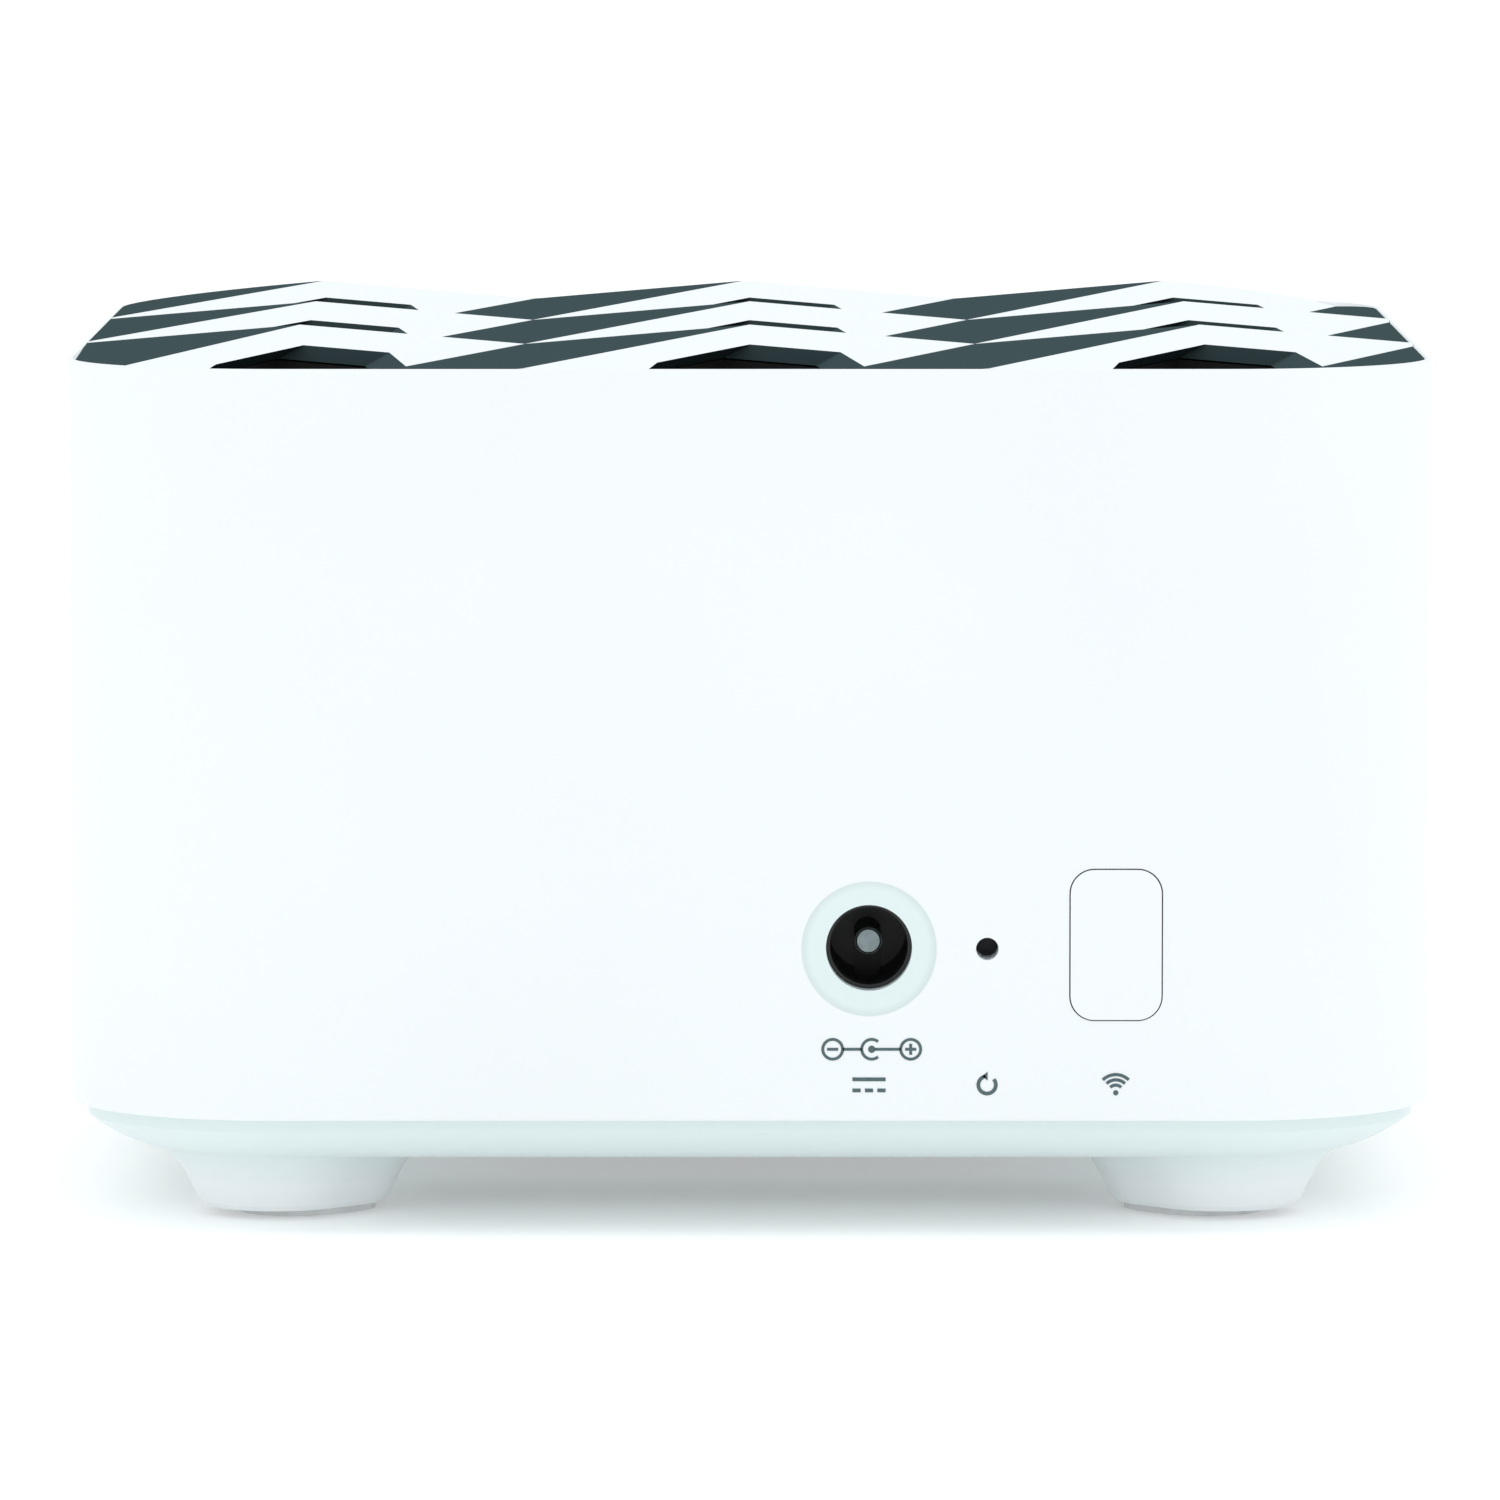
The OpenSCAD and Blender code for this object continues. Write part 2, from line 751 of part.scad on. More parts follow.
module chassis() {
    color([0.08, 0.08, 0.09]) difference() {
        union() {
            difference() {
                slab(2 * band_half, 2 * band_half, band_r, band_bottom, deck_z - eps);
                slab(2 * (band_half - band_t), 2 * (band_half - band_t), band_r - band_t,
                     band_bottom - cut, deck_z + cut);
                for (turn = [0, 90]) rotate(turn)
                    block(opening_w, body_side, band_bottom - cut, opening_top);
            }
            difference() {
                inner_slab(deck_half, deck_z - deck_t, deck_z);
                slab(2 * (deck_half - deck_ring), 2 * (deck_half - deck_ring), cut,
                     deck_z - deck_t - cut, deck_z + cut);
            }
            for (y = cap_boss_rows) translate([0, y, 0])
                block(2 * (deck_half - deck_ring / 2), 3 * cap_boss_r, deck_z - deck_t, deck_z);
            intersection() {
                slab(2 * band_half - eps, 2 * band_half - eps, band_r,
                     band_bottom, band_bottom + gusset_t);
                difference() {
                    block(body_side, body_side, band_bottom, band_bottom + gusset_t);
                    rotate(45) block(gusset_reach * sqrt(2), gusset_reach * sqrt(2),
                                     band_bottom - cut, band_bottom + gusset_t + cut);
                }
            }
            at_posts() translate([0, 0, board_z])
                cylinder(h = band_bottom + gusset_t - board_z, r = leg_r);
        }
        at_posts() translate([0, 0, board_z - cut])
            cylinder(h = long_tip - board_z + 2 * cut, r = long_r + grip);
        at_cap_bosses() translate([0, 0, deck_z - deck_t - cut])
            cylinder(h = deck_t + 2 * cut, r = cap_screw_r + clear);
    }
}

// ---- Antennas: one on each side of the chassis ----

module antenna(turn) {
    color([0.12, 0.16, 0.14]) rotate(turn)
        translate([band_half, -antenna_w / 2, antenna_z]) cube([antenna_t, antenna_w, antenna_h]);
}

module antenna_right() { antenna(0); }
module antenna_front() { antenna(90); }
module antenna_left() { antenna(180); }
module antenna_rear() { antenna(270); }

// Copper radiator on the outer face of each antenna board: a bent strip
module antenna_foils() {
    low = antenna_z + foil_edge;
    high = antenna_z + antenna_h - foil_edge;
    reach = antenna_w / 2 - foil_edge;
    color([0.72, 0.45, 0.2]) for (turn = [0 : 90 : 270]) rotate(turn)
        translate([band_half + antenna_t, 0, 0]) {
            translate([0, -reach, high - foil_w]) cube([foil_t, 2 * reach, foil_w]);
            translate([0, -reach, low]) cube([foil_t, foil_w, high - low]);
            translate([0, -foil_w / 2, low]) cube([foil_t, foil_w, high - low - eps]);
        }
}

// Coaxial leads: down from each antenna, round a bend, and in to the board's sockets
module antenna_leads() {
    color([0.2, 0.2, 0.22]) for (turn = [0 : 90 : 270]) rotate(turn)
        translate([0, -lead_offset, 0]) {
            translate([lead_x, 0, lead_z + lead_bend])
                cylinder(h = lead_top - lead_z - lead_bend, r = lead_r);
            translate([lead_x - lead_bend, 0, lead_z + lead_bend]) rotate([90, 0, 0])
                rotate(-90) rotate_extrude(angle = 90) translate([lead_bend, 0]) circle(lead_r);
            translate([plug_x + plug_r, 0, lead_z]) rotate([0, 90, 0])
                cylinder(h = lead_x - lead_bend - plug_x - plug_r, r = lead_r);
        }
}

module coax_plugs() {
    low = board_z + plug_lift;
    color("gold") for (turn = [0 : 90 : 270]) rotate(turn)
        translate([plug_x, -lead_offset, 0]) difference() {
            translate([0, 0, low]) cylinder(h = plug_h, r = plug_r);
            translate([0, 0, low - cut])
                cylinder(h = cut + board_z + socket_h - low + grip, r = socket_r + grip);
        }
}

module coax_sockets() {
    color("gold") for (turn = [0 : 90 : 270]) rotate(turn)
        translate([plug_x, -lead_offset, 0]) {
            block(socket_side, socket_side, board_z, board_z + socket_foot_h);
            translate([0, 0, board_z + socket_foot_h - eps])
                cylinder(h = socket_h - socket_foot_h, r = socket_r);
        }
}

// ---- Main board and its components ----

module main_board() {
    color([0.05, 0.3, 0.2]) difference() {
        slab(board_side, board_side, board_r, board_bottom, board_z);
        at_posts() translate([0, 0, board_bottom - cut])
            cylinder(h = board_t + 2 * cut, r = long_r + 2 * clear);
        at_board_screws() translate([0, 0, board_bottom - cut])
            cylinder(h = board_t + 2 * cut, r = short_r + 2 * clear);
    }
}

module processor() {
    color([0.12, 0.12, 0.13]) block(chip_side, chip_side, board_z, chip_top);
}

module thermal_pad() {
    color([0.45, 0.6, 0.75]) block(pad_side, pad_side, chip_top, sink_z);
}

module heat_sink() {
    gap = (sink_side - fin_t) / (fin_count - 1);
    color("lightgray") difference() {
        union() {
            block(sink_side, sink_side, sink_z, sink_z + sink_base);
            for (i = [0 : fin_count - 1])
                translate([-sink_side / 2 + i * gap, -sink_side / 2, sink_z])
                    cube([fin_t, sink_side, sink_base + fin_h]);
        }
        for (s = [-1, 1]) translate([s * sink_pin_xy, -s * sink_pin_xy, sink_z - cut]) {
            cylinder(h = sink_base + 2 * cut, r = sink_pin_r + sink_pin_gap);
            translate([0, 0, sink_base + cut]) cylinder(h = fin_h + cut, r = sink_well_r);
        }
    }
}

module heat_sink_pins() {
    seat = sink_z + sink_base;
    color([0.15, 0.15, 0.16]) for (s = [-1, 1])
        translate([s * sink_pin_xy, -s * sink_pin_xy, 0]) {
            translate([0, 0, board_z]) cylinder(h = seat - board_z + eps, r = sink_pin_r);
            translate([0, 0, seat]) cylinder(h = sink_cap_h, r = sink_cap_r);
            translate([0, 0, seat + sink_cap_h - eps]) cylinder(h = sink_head_h, r = sink_head_r);
        }
}

module memory_chips() {
    color([0.12, 0.12, 0.13]) for (x = memory_x)
        translate([x, memory_y, 0]) block(memory_w, memory_d, board_z, board_z + memory_h);
}

module flash_chip() {
    color([0.12, 0.12, 0.13])
        translate([flash_x, memory_y, 0]) block(flash_w, flash_d, board_z, board_z + flash_h);
}

// Folded metal lid over one radio section
module radio_shield(x, y) {
    color("silver") translate([x, y, 0]) difference() {
        block(can_w, can_d, board_z, board_z + can_h);
        block(can_w - 2 * can_t, can_d - 2 * can_t, board_z - cut, board_z + can_h - can_t);
    }
}

module radio_shield_right() { radio_shield(can_x, can_y); }
module radio_shield_left() { radio_shield(-can_x, -can_y); }

module inductor() {
    color([0.25, 0.25, 0.26])
        translate([coil_x, coil_y, 0]) slab(coil_side, coil_side, coil_r, board_z, board_z + coil_h);
}

module capacitors() {
    color([0.7, 0.72, 0.75]) for (spot = cap_can_spots)
        translate([spot[0], spot[1], board_z]) {
            cylinder(h = cap_can_h, r = cap_can_r);
            translate([0, 0, cap_can_h - eps]) cylinder(h = cap_top_h, r = cap_top_r);
        }
}

module status_led() {
    color([0.9, 0.92, 0.85]) translate([0, led_y, 0]) block(led_w, led_d, board_z, board_z + led_h);
}

// Clear rod from the lamp to a small window in the front wall
module light_pipe() {
    start = led_y + led_d / 2 + pipe_start_gap;
    collar_end = inner_half - collar_gap;
    color([0.85, 0.9, 0.92, 0.7]) {
        bar_y(0, pipe_z, pipe_r, start, half + proud);
        bar_y(0, pipe_z, pipe_r + collar_over, collar_end - collar_t, collar_end);
    }
}

// ---- Rear controls ----

module jack_body() {
    leaf_y = jack_face + leaf_back;
    color([0.07, 0.07, 0.08]) difference() {
        translate([dc_x, jack_face + jack_len / 2, 0])
            block(jack_w, jack_len, board_z, board_z + jack_h);
        bar_y(dc_x, control_z, jack_bore_r, jack_face - cut, jack_face + jack_bore_len);
        bar_y(dc_x, control_z, pin_r + grip, jack_face, jack_face + jack_len + cut);
        translate([dc_x, (leaf_y + jack_face + jack_bore_len) / 2, 0])
            block(jack_slot_w, jack_face + jack_bore_len - leaf_y + cut, board_z - cut, control_z);
    }
}

module jack_pin() {
    color("silver") {
        bar_y(dc_x, control_z, pin_r, pin_tip + pin_bevel, jack_face + jack_len);
        translate([dc_x, pin_tip, control_z]) rotate([-90, 0, 0])
            cylinder(h = pin_bevel + eps, r1 = pin_r - pin_bevel, r2 = pin_r);
    }
}

// Leaf that presses on the plug's sleeve, and the tail of the centre pin
module jack_contacts() {
    leaf_y = jack_face + leaf_back;
    tail_y = jack_face + jack_len;
    color("silver") {
        translate([dc_x - leaf_w / 2, leaf_y, board_z])
            cube([leaf_w, jack_bore_len - leaf_back, leaf_t]);
        translate([dc_x - leaf_w / 2, leaf_y, board_z])
            cube([leaf_w, leaf_t, leaf_top - board_z]);
        translate([dc_x - tail_w / 2, tail_y, board_z])
            cube([tail_w, tail_t, control_z - board_z + tail_over]);
    }
}

module sync_button() {
    back = rear_in + flange_gap;
    plunger_face = sync_front - plunger_out;
    color("white") {
        plate_y(sync_x, sync_z, sync_w, sync_h, sync_corner, rear_out - proud, back + eps);
        plate_y(sync_x, sync_z, sync_w + 2 * flange_lap, sync_h + 2 * flange_lap,
                sync_corner, back, back + flange_t);
        bar_y(sync_x, sync_z, stem_w / 2, back + flange_t - eps, plunger_face - contact_gap);
    }
}

// Side-pressed switch: a tall body with a round guide for its plunger
module switch_body(x, z, w, h, front, depth, r, room) {
    color([0.16, 0.16, 0.17]) difference() {
        translate([x, front + depth / 2, 0]) block(w, depth, board_z, board_z + h);
        bar_y(x, z, r + plunger_gap, front - cut, front + room);
    }
}

module sync_switch_body() {
    switch_body(sync_x, sync_z, sync_body_w, sync_body_h, sync_front, sync_depth,
                sync_plunger_r, plunger_in + sync_travel + end_room);
}

module sync_switch_plunger() {
    color([0.8, 0.8, 0.78])
        bar_y(sync_x, sync_z, sync_plunger_r, sync_front - plunger_out, sync_front + plunger_in);
}

module reset_switch_body() {
    switch_body(reset_x, control_z, reset_body_w, reset_body_h, reset_front, reset_depth,
                reset_plunger_r, reset_in + reset_travel + end_room);
}

module reset_switch_plunger() {
    color([0.8, 0.8, 0.78])
        bar_y(reset_x, control_z, reset_plunger_r, reset_front - reset_out,
              reset_front + reset_in);
}

housing();
control_panel();
top_grille();
vent_liner();
base_tray();
foot_pads();
base_screws();
chassis();
cap_screws();
main_board();
board_screws();
jack_body();
jack_pin();
jack_contacts();
sync_button();
sync_switch_body();
sync_switch_plunger();
reset_switch_body();
reset_switch_plunger();
heat_sink();
heat_sink_pins();
thermal_pad();
processor();
memory_chips();
flash_chip();
radio_shield_right();
radio_shield_left();
inductor();
capacitors();
status_led();
light_pipe();
antenna_right();
antenna_front();
antenna_left();
antenna_rear();
antenna_foils();
antenna_leads();
coax_plugs();
coax_sockets();
rating_label();
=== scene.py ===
"""Finishes and fine detail for a square mesh wireless router, laid out as a Blender add-on."""

import math

import bmesh
import bpy
from bpy.props import FloatProperty, FloatVectorProperty, IntProperty, PointerProperty
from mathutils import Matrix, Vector


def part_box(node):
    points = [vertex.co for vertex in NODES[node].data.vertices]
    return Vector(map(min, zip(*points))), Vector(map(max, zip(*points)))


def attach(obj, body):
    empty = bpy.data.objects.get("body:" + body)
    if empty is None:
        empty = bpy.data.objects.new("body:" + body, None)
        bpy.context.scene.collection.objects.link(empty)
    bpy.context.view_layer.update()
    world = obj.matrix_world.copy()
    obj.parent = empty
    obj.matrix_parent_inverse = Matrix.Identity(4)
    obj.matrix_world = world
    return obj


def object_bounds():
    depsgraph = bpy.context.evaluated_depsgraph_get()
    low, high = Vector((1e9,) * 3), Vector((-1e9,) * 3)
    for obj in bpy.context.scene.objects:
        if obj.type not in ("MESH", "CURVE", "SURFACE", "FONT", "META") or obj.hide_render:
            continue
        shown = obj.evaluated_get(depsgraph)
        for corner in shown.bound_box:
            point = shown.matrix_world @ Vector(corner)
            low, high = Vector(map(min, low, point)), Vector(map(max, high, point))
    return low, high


bl_info = {
    "name": "Mesh Router Finishes",
    "version": (1, 0, 0),
    "blender": (4, 5, 0),
    "location": "View3D > Sidebar > Router",
    "description": "Dresses a mesh wireless router in moulded plastic, rubber, metal and printed marks",
    "category": "Object",
}

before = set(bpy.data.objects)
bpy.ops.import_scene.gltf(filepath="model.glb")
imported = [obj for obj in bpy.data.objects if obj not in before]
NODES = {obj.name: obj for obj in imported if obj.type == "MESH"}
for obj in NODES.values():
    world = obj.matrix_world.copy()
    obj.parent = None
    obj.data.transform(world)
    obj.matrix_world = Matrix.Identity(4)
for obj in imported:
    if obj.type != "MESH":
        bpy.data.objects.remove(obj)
CAD_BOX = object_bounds()
CASING = "casing"
MM = 0.001


# ---- Sizes and places, read from the frame ----

def middle(node):
    """Centre of a CAD node's box."""
    low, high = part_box(node)
    return (low + high) / 2


def rear_wall():
    """Depth of the housing's rear face."""
    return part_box("housing")[0].y


# ---- Shaders ----

def shader(name, colour, roughness, metallic=0.0, **sockets):
    """A Principled material whose even values sit on the shader's own sockets."""
    material = bpy.data.materials.new(name)
    material.use_nodes = True
    bsdf = material.node_tree.nodes["Principled BSDF"]
    bsdf.inputs["Base Color"].default_value = (*colour[:3], 1.0)
    bsdf.inputs["Roughness"].default_value = roughness
    bsdf.inputs["Metallic"].default_value = metallic
    for socket, value in sockets.items():
        bsdf.inputs[socket.replace("_", " ")].default_value = value
    material.diffuse_color = (*colour[:3], 1.0)
    return material


def add_node(material, kind, **values):
    """A new shader node with its attributes or input defaults set."""
    node = material.node_tree.nodes.new(kind)
    for key, value in values.items():
        if key in node.inputs:
            node.inputs[key].default_value = value
        else:
            setattr(node, key, value)
    return node


def join(material, source, output, target, entry):
    material.node_tree.links.new(source.outputs[output], target.inputs[entry])


def surface(material):
    return material.node_tree.nodes["Principled BSDF"]


def body_coordinates(material, stretch=(1.0, 1.0, 1.0)):
    """Object coordinates, stretched for grain that runs one way."""
    place = add_node(material, "ShaderNodeTexCoord")
    mapping = add_node(material, "ShaderNodeMapping")
    mapping.inputs["Scale"].default_value = stretch
    join(material, place, "Object", mapping, "Vector")
    return mapping


def noise(material, size, detail=2.0, stretch=(1.0, 1.0, 1.0)):
    """Noise whose lumps are about size metres across."""
    lumps = add_node(material, "ShaderNodeTexNoise", Scale=1.0 / size, Detail=detail)
    join(material, body_coordinates(material, stretch), "Vector", lumps, "Vector")
    return lumps


def grain(material, size, height, strength=1.0, detail=2.0, stretch=(1.0, 1.0, 1.0)):
    """Fine relief: lumps of the given size and height, in metres."""
    lumps = noise(material, size, detail, stretch)
    bump = add_node(material, "ShaderNodeBump", Strength=strength, Distance=height)
    join(material, lumps, "Fac", bump, "Height")
    join(material, bump, "Normal", surface(material), "Normal")
    return lumps


def ramp(material, source, output, stops):
    """A colour ramp over the stops, which are (place, colour) pairs."""
    band = add_node(material, "ShaderNodeValToRGB")
    while len(band.color_ramp.elements) < len(stops):
        band.color_ramp.elements.new(0.5)
    for element, (place, colour) in zip(band.color_ramp.elements, stops):
        element.position = place
        element.color = (*colour[:3], 1.0)
    join(material, source, output, band, "Fac")
    return band


def mottle(material, size, colour, spread, stretch=(1.0, 1.0, 1.0)):
    """Slight lighter and darker patches about the base colour."""
    dark = [c * (1.0 - spread) for c in colour[:3]]
    light = [min(1.0, c * (1.0 + spread)) for c in colour[:3]]
    band = ramp(material, noise(material, size, 3.0, stretch), "Fac", [(0.3, dark), (0.7, light)])
    join(material, band, "Color", surface(material), "Base Color")
    return band


def uneven_gloss(material, size, low, high, stretch=(1.0, 1.0, 1.0)):
    """Roughness that wanders between two values, as handling and tooling leave it."""
    lumps = noise(material, size, 3.0, stretch)
    spread = add_node(material, "ShaderNodeMapRange")
    spread.inputs["From Min"].default_value = 0.3
    spread.inputs["From Max"].default_value = 0.7
    spread.inputs["To Min"].default_value = low
    spread.inputs["To Max"].default_value = high
    join(material, lumps, "Fac", spread, "Value")
    join(material, spread, "Result", surface(material), "Roughness")


def compare(material, operation, source, output, limit):
    """One where an output passes a limit, and nought elsewhere."""
    test = add_node(material, "ShaderNodeMath", operation=operation)
    test.inputs[1].default_value = limit
    join(material, source, output, test, 0)
    return test


def both(material, first, second):
    """One where two tests hold together."""
    product = add_node(material, "ShaderNodeMath", operation="MULTIPLY")
    join(material, first, "Value", product, 0)
    join(material, second, "Value", product, 1)
    return product


def size_of(material, source, output):
    """A value without its sign."""
    size = add_node(material, "ShaderNodeMath", operation="ABSOLUTE")
    join(material, source, output, size, 0)
    return size


def dress(node, material):
    """Gives a carried CAD node its finish."""
    mesh = NODES[node].data
    mesh.materials.clear()
    mesh.materials.append(material)


# ---- Meshes ----

def new_piece(name, mesh_maker, material, body=CASING):
    """Builds a mesh object, gives it its finish and lets it ride on a body."""
    mesh = bpy.data.meshes.new(name)
    bm = bmesh.new()
    mesh_maker(bm)
    bmesh.ops.recalc_face_normals(bm, faces=bm.faces)
    bm.to_mesh(mesh)
    bm.free()
    mesh.materials.append(material)
    piece = bpy.data.objects.new(name, mesh)
    bpy.context.scene.collection.objects.link(piece)
    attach(piece, body)
    return piece


def add_box(bm, low, high):
    """A box between two corners."""
    made = bmesh.ops.create_cube(bm, size=1.0)
    for vertex in made["verts"]:
        vertex.co = Vector(
            low[i] if vertex.co[i] < 0 else high[i] for i in range(3)
        )


def soften(node_object, width, segments=2, angle=40.0):
    """Rounds sharp edges by a modifier, which leaves the mesh itself as it is."""
    bevel = node_object.modifiers.new("edge_round", "BEVEL")
    bevel.width = width
    bevel.segments = segments
    bevel.limit_method = "ANGLE"
    bevel.angle_limit = math.radians(angle)
    bevel.harden_normals = False
    return bevel


def wall_ribbon(bm, path, width, front, back, closed=False):
    """A flat ribbon along a path of (x, z) points on the rear wall, as a thin closed solid."""
    count = len(path)
    left, right = [], []
    for i, (x, z) in enumerate(path):
        before = path[(i - 1) % count] if closed or i > 0 else path[i]
        after = path[(i + 1) % count] if closed or i < count - 1 else path[i]
        along = Vector((after[0] - before[0], after[1] - before[1])).normalized()
        across = Vector((-along.y, along.x)) * width / 2
        left.append((x + across.x, z + across.y))
        right.append((x - across.x, z - across.y))
    rings = [
        [bm.verts.new((x, depth, z)) for x, z in side]
        for depth in (front, back) for side in (left, right)
    ]
    front_left, front_right, back_left, back_right = rings
    spans = range(count if closed else count - 1)
    for i in spans:
        j = (i + 1) % count
        bm.faces.new((front_left[i], front_left[j], front_right[j], front_right[i]))
        bm.faces.new((back_left[j], back_left[i], back_right[i], back_right[j]))
        bm.faces.new((front_left[j], front_left[i], back_left[i], back_left[j]))
        bm.faces.new((front_right[i], front_right[j], back_right[j], back_right[i]))
    if not closed:
        for i in (0, -1):
            bm.faces.new((front_left[i], front_right[i], back_right[i], back_left[i]))


def wall_patch(bm, outline, front, back):
    """A filled flat shape on the rear wall, as a thin closed solid."""
    face_front = [bm.verts.new((x, front, z)) for x, z in outline]
    face_back = [bm.verts.new((x, back, z)) for x, z in outline]
    bm.faces.new(face_front)
    bm.faces.new(list(reversed(face_back)))
    count = len(outline)
    for i in range(count):
        j = (i + 1) % count
        bm.faces.new((face_front[j], face_front[i], face_back[i], face_back[j]))


def arc_points(x, z, radius, start, end, steps=24):
    """Points of an arc on the rear wall, between two angles in degrees."""
    angles = [math.radians(start + (end - start) * i / steps) for i in range(steps + 1)]
    return [(x + radius * math.cos(a), z + radius * math.sin(a)) for a in angles]


def circle_points(x, z, radius, steps=32):
    return arc_points(x, z, radius, 0, 360 * (steps - 1) / steps, steps - 1)


# ---- Settings ----

class ShellSettings(bpy.types.PropertyGroup):
    colour: FloatVectorProperty(
        name="Shell colour", description="White of the moulded shell", subtype="COLOR",
        default=(0.85, 0.885, 0.9), min=0, max=1)
    roughness: FloatProperty(
        name="Roughness", description="How satin the shell is", default=0.34, min=0, max=1)
    grain_size: FloatProperty(
        name="Grain size", description="Width of the moulded grain", default=0.00035,
        unit="LENGTH")
    grain_height: FloatProperty(
        name="Grain height", description="Height of the moulded grain", default=0.000004,
        unit="LENGTH")


class CapSettings(bpy.types.PropertyGroup):
    # Painted shade: the dark grey given to the facets that lean to one side, standing in for the shade
    # they show.
    facet_shade_colour: FloatVectorProperty(
        name="Facet colour", description="Cool grey of the alternate facets", subtype="COLOR",
        default=(0.05, 0.078, 0.084), min=0, max=1)
    facet_tilt: FloatProperty(
        name="Facet tilt", description="Sideways lean at which a facet counts as grey",
        default=-0.04, min=-1, max=0)
    upright: FloatProperty(
        name="Upright", description="How level a face is to count as a facet",
        default=0.9, min=0, max=1)
    rim_reach: FloatProperty(
        name="Rim reach", description="Distance of the cap's rim from its middle lines",
        default=CAD_BOX[1].x - 2 * MM, unit="LENGTH")
    step_place: FloatProperty(
        name="Step place", description="Distance of the steps between rows from the middle line",
        default=17.5 * MM, unit="LENGTH")
    step_clearance: FloatProperty(
        name="Step clearance", description="How close to a step a face still belongs to it",
        default=1 * MM, unit="LENGTH")
    roughness: FloatProperty(
        name="Roughness", description="Roughness of the cap's matt skin", default=0.3,
        min=0, max=1)


class InletSettings(bpy.types.PropertyGroup):
    body_colour: FloatVectorProperty(
        name="Jack colour", description="Black of the jack's body", subtype="COLOR",
        default=(0.006, 0.006, 0.007), min=0, max=1)
    pin_colour: FloatVectorProperty(
        name="Pin colour", description="Nickel of the centre pin", subtype="COLOR",
        default=(0.3, 0.36, 0.37), min=0, max=1)
    # Painted shade: the cooler, darker tint within the recessed dish around the inlet.
    dish_shade_colour: FloatVectorProperty(
        name="Dish colour", description="Cooler white of the dish around the inlet",
        subtype="COLOR", default=(0.74, 0.84, 0.84), min=0, max=1)
    dish_radius: FloatProperty(
        name="Dish radius", description="Radius of the dish around the inlet",
        default=5.1 * MM, unit="LENGTH")


class MarkSettings(bpy.types.PropertyGroup):
    ink_colour: FloatVectorProperty(
        name="Ink colour", description="Grey of the printed marks", subtype="COLOR",
        default=(0.07, 0.115, 0.125), min=0, max=1)
    ink_depth: FloatProperty(
        name="Ink thickness", description="How far the ink stands on the wall",
        default=0.00003, unit="LENGTH")
    line_width: FloatProperty(
        name="Line width", description="Width of a printed line", default=0.00022,
        unit="LENGTH")
    polarity_drop: FloatProperty(
        name="Polarity drop", description="Distance of the polarity mark below the inlet",
        default=0.0076, unit="LENGTH")
    polarity_shift: FloatProperty(
        name="Polarity shift", description="Sideways place of the polarity mark from the inlet",
        default=0.0002, unit="LENGTH")
    icon_drop: FloatProperty(
        name="Icon drop", description="Distance of the icons below the controls",
        default=0.0103, unit="LENGTH")


class FootSettings(bpy.types.PropertyGroup):
    # Painted shade: the darker, cooler tint along the base's rolled rim, which faces down.
    rim_shade_colour: FloatVectorProperty(
        name="Base colour", description="White of the moulded base", subtype="COLOR",
        default=(0.73, 0.825, 0.825), min=0, max=1)
    rim_height: FloatProperty(
        name="Rim height", description="Height up to the base's rolled rim",
        default=8.8 * MM, unit="LENGTH")
    rubber_colour: FloatVectorProperty(
        name="Rubber colour", description="Grey of the rubber pads", subtype="COLOR",
        default=(0.78, 0.8, 0.8), min=0, max=1)


class BoardSettings(bpy.types.PropertyGroup):
    mask_colour: FloatVectorProperty(
        name="Mask colour", description="Green of the board's solder mask", subtype="COLOR",
        default=(0.012, 0.085, 0.045), min=0, max=1)
    part_count: IntProperty(
        name="Small parts", description="Chip resistors in each of the two rows",
        default=7, min=1, max=12)


class StageSettings(bpy.types.PropertyGroup):
    floor_colour: FloatVectorProperty(
        name="Floor colour", description="Pale floor", subtype="COLOR",
        default=(0.9, 0.9, 0.9), min=0, max=1)
    focal: FloatProperty(
        name="Focal length", description="Lens, in millimetres on a 36 mm sensor",
        default=291.6, min=20, max=500)
    distance: FloatProperty(
        name="Camera distance", description="From the camera to the body's middle",
        default=0.962, unit="LENGTH")
    height: FloatProperty(
        name="Camera height", description="Of the camera above the floor",
        default=0.1179, unit="LENGTH")
    pitch: FloatProperty(
        name="Camera pitch", description="How far the camera looks down",
        default=math.radians(5.084), subtype="ANGLE")


def settings(group):
    return getattr(bpy.context.scene, group)


# ---- Finishes ----

def shell_plastic(name="white_plastic"):
    """Satin white plastic with a fine moulded grain and faint unevenness."""
    s = settings("router_shell")
    material = shader(name, s.colour, s.roughness, IOR=1.49)
    mottle(material, 0.03, s.colour, 0.012)
    grain(material, s.grain_size, s.grain_height, 0.6)
    return material


